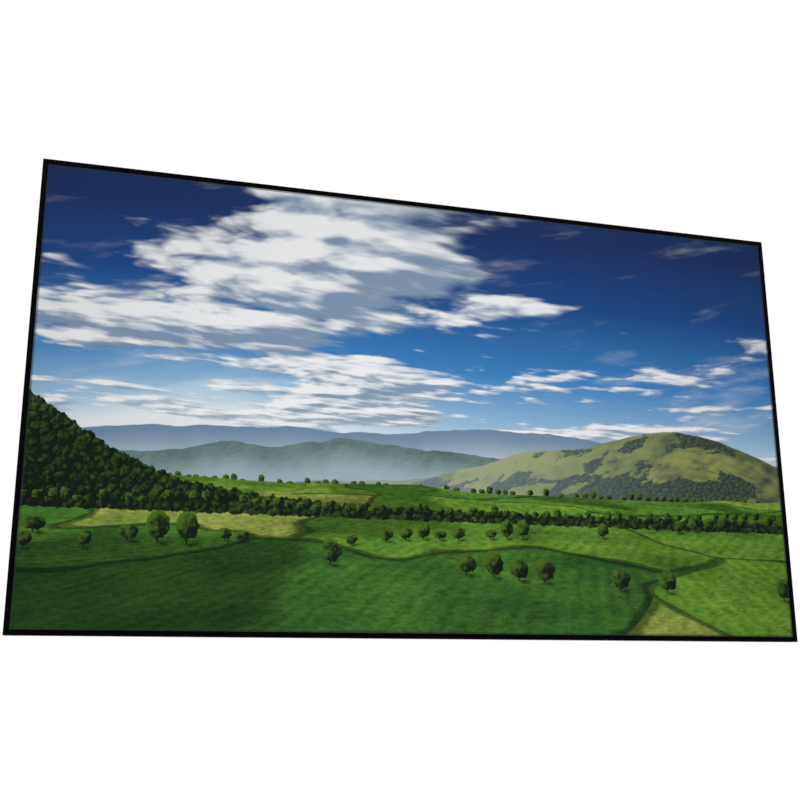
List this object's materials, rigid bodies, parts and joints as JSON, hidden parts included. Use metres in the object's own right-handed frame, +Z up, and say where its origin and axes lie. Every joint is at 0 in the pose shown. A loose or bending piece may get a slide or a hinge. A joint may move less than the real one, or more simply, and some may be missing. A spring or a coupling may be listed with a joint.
{
  "type": "fixed frame projection screen",
  "caption": "Thin-bezel fixed frame projection screen: a sheet tensioned by rods and springs over a mitred aluminium frame that hangs on wall brackets.",
  "frame": {"origin": "centre of the screen's outer box", "axes": "+X to the right as seen from the front, +Y from the front towards the wall, +Z up"},
  "size_m": [2.242, 0.042, 1.273],
  "materials": {
    "bezel_trim": "satin black anodised extrusion",
    "frame": "matt black anodised extrusion",
    "screen_sheet": "matt white projection fabric, printed or lit with a picture on the front and black behind",
    "tension_rod": "smooth resin-bound glass fibre",
    "spring": "bright zinc-plated wire",
    "joining_plate": "zinc-plated steel",
    "support_bar": "plain mill-finish tube",
    "bar_cap": "moulded black plastic",
    "wall_bracket": "black powder-coated steel"
  },
  "bodies": {
    "root": {"bezel_trim_top_left": "bezel_trim", "bezel_trim_top_right": "bezel_trim", "bezel_trim_bottom_left": "bezel_trim", "bezel_trim_bottom_right": "bezel_trim", "bezel_trim_left": "bezel_trim", "bezel_trim_right": "bezel_trim", "frame_top_left": "frame", "frame_top_right": "frame", "frame_bottom_left": "frame", "frame_bottom_right": "frame", "frame_left": "frame", "frame_right": "frame", "tension_rod_top_left": "tension_rod", "tension_rod_top_right": "tension_rod", "tension_rod_bottom_left": "tension_rod", "tension_rod_bottom_right": "tension_rod", "tension_rod_left": "tension_rod", "tension_rod_right": "tension_rod", "spring_top_1": "spring", "spring_top_2": "spring", "spring_top_3": "spring", "spring_top_4": "spring", "spring_top_5": "spring", "spring_top_6": "spring", "spring_top_7": "spring", "spring_top_8": "spring", "spring_bottom_1": "spring", "spring_bottom_2": "spring", "spring_bottom_3": "spring", "spring_bottom_4": "spring", "spring_bottom_5": "spring", "spring_bottom_6": "spring", "spring_bottom_7": "spring", "spring_bottom_8": "spring", "spring_left_1": "spring", "spring_left_2": "spring", "spring_left_3": "spring", "spring_left_4": "spring", "spring_left_5": "spring", "spring_right_1": "spring", "spring_right_2": "spring", "spring_right_3": "spring", "spring_right_4": "spring", "spring_right_5": "spring", "corner_plate_top_left": "joining_plate", "corner_plate_top_right": "joining_plate", "corner_plate_bottom_left": "joining_plate", "corner_plate_bottom_right": "joining_plate", "splice_plate_top": "joining_plate", "splice_plate_bottom": "joining_plate", "support_bar": "support_bar", "support_bar_cap_top": "bar_cap", "support_bar_cap_bottom": "bar_cap", "wall_bracket_top_left": "wall_bracket", "wall_bracket_top_right": "wall_bracket", "wall_bracket_bottom_left": "wall_bracket", "wall_bracket_bottom_right": "wall_bracket", "screen_sheet": "screen_sheet"}
  },
  "joints": []
}
